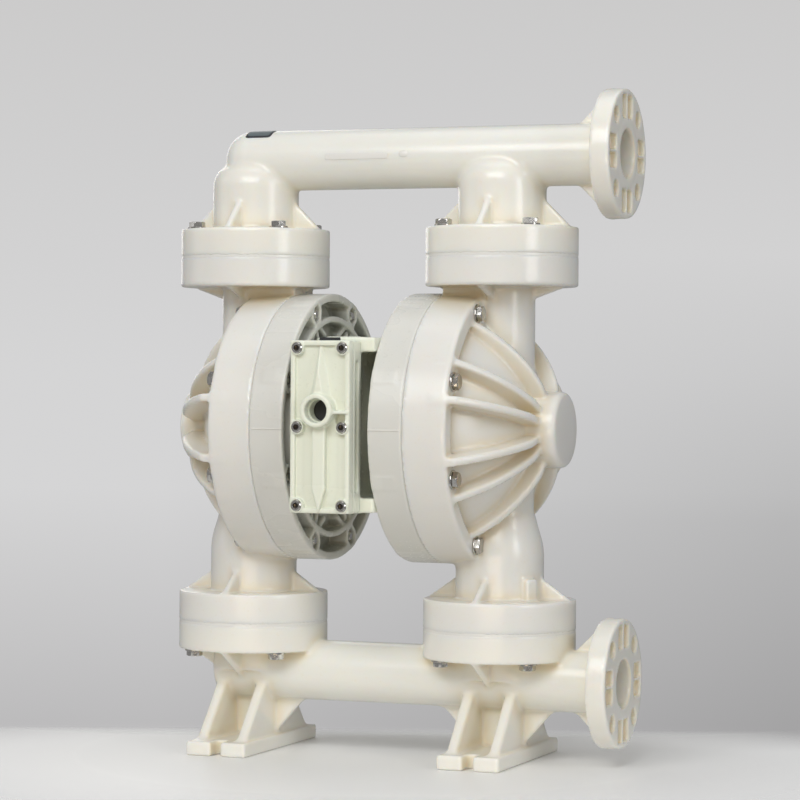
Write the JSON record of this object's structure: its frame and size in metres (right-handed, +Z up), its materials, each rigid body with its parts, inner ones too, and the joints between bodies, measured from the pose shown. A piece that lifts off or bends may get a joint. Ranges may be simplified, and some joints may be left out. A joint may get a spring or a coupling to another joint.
{
  "type": "air operated diaphragm pump",
  "caption": "Air operated double diaphragm pump in natural polypropylene with ribbed liquid chambers, ball checks, flanged manifolds and a front air valve.",
  "frame": {"origin": "on the floor, midway between the feet and under the middle of the diaphragm rod", "axes": "+X along the rod towards the pipe flanges, -Y towards the air inlet, +Z up"},
  "size_m": [0.5659, 0.3496, 0.7947],
  "materials": {
    "natural_polypropylene": "natural milky polypropylene, soft sheen",
    "filled_polypropylene": "pale grey-green filled polypropylene, satin",
    "stainless_fasteners": "stainless steel, as machined",
    "black_gasket": "black rubber sheet",
    "white_ptfe": "white fluoropolymer",
    "stainless_rod": "ground stainless steel",
    "white_plate": "moulded polypropylene",
    "bronze_sleeve": "turned bearing bronze",
    "valve_aluminium": "anodised aluminium"
  },
  "bodies": {
    "root": {"discharge_manifold": "natural_polypropylene", "suction_manifold": "natural_polypropylene", "liquid_chamber_left": "natural_polypropylene", "liquid_chamber_right": "natural_polypropylene", "air_chamber_left": "filled_polypropylene", "air_chamber_right": "filled_polypropylene", "center_block": "filled_polypropylene", "valve_body": "filled_polypropylene", "valve_cover": "filled_polypropylene", "chamber_bolts_left": "stainless_fasteners", "chamber_bolts_right": "stainless_fasteners", "chamber_washers_left": "stainless_fasteners", "chamber_washers_right": "stainless_fasteners", "chamber_nuts_left": "stainless_fasteners", "chamber_nuts_right": "stainless_fasteners", "discharge_bolts": "stainless_fasteners", "discharge_washers": "stainless_fasteners", "suction_bolts": "stainless_fasteners", "suction_washers": "stainless_fasteners", "cover_screws": "stainless_fasteners", "valve_gasket": "black_gasket", "cover_gasket": "black_gasket", "discharge_seats": "white_ptfe", "suction_seats": "white_ptfe", "diaphragm_left": "white_ptfe", "diaphragm_right": "white_ptfe", "rod_bushing_left": "bronze_sleeve", "rod_bushing_right": "bronze_sleeve", "valve_sleeve": "bronze_sleeve", "valve_cap_bottom": "valve_aluminium", "valve_cap_top": "valve_aluminium"},
    "diaphragm_shaft": {"diaphragm_rod": "stainless_rod", "inner_plate_left": "stainless_rod", "inner_plate_right": "stainless_rod", "outer_plate_left": "white_plate", "outer_plate_right": "white_plate"},
    "pilot_rod": {"pilot_rod": "stainless_rod"},
    "main_spool": {"valve_spool": "valve_aluminium"},
    "discharge_ball_left": {"discharge_ball_left": "white_ptfe"},
    "discharge_ball_right": {"discharge_ball_right": "white_ptfe"},
    "suction_ball_left": {"suction_ball_left": "white_ptfe"},
    "suction_ball_right": {"suction_ball_right": "white_ptfe"}
  },
  "joints": [
    {"name": "shaft_slide", "type": "slide", "parent": "root", "child": "diaphragm_shaft", "axis": [1, 0, 0], "range_m": [-0.022, 0.022], "deforming": ["diaphragm_left", "diaphragm_right"]},
    {"name": "pilot_slide", "type": "slide", "parent": "root", "child": "pilot_rod", "axis": [1, 0, 0], "range_m": [-0.0044, 0.0044]},
    {"name": "spool_slide", "type": "slide", "parent": "root", "child": "main_spool", "axis": [0, 0, 1], "range_m": [0, 0.02]},
    {"name": "discharge_ball_left_lift", "type": "slide", "parent": "root", "child": "discharge_ball_left", "axis": [0, 0, 1], "range_m": [0, 0.015]},
    {"name": "discharge_ball_right_lift", "type": "slide", "parent": "root", "child": "discharge_ball_right", "axis": [0, 0, 1], "range_m": [0, 0.015]},
    {"name": "suction_ball_left_lift", "type": "slide", "parent": "root", "child": "suction_ball_left", "axis": [0, 0, 1], "range_m": [0, 0.015]},
    {"name": "suction_ball_right_lift", "type": "slide", "parent": "root", "child": "suction_ball_right", "axis": [0, 0, 1], "range_m": [0, 0.015]}
  ],
  "couplings": [
    {"joint": "pilot_slide", "follows": "shaft_slide", "ratio": 0.2}
  ]
}
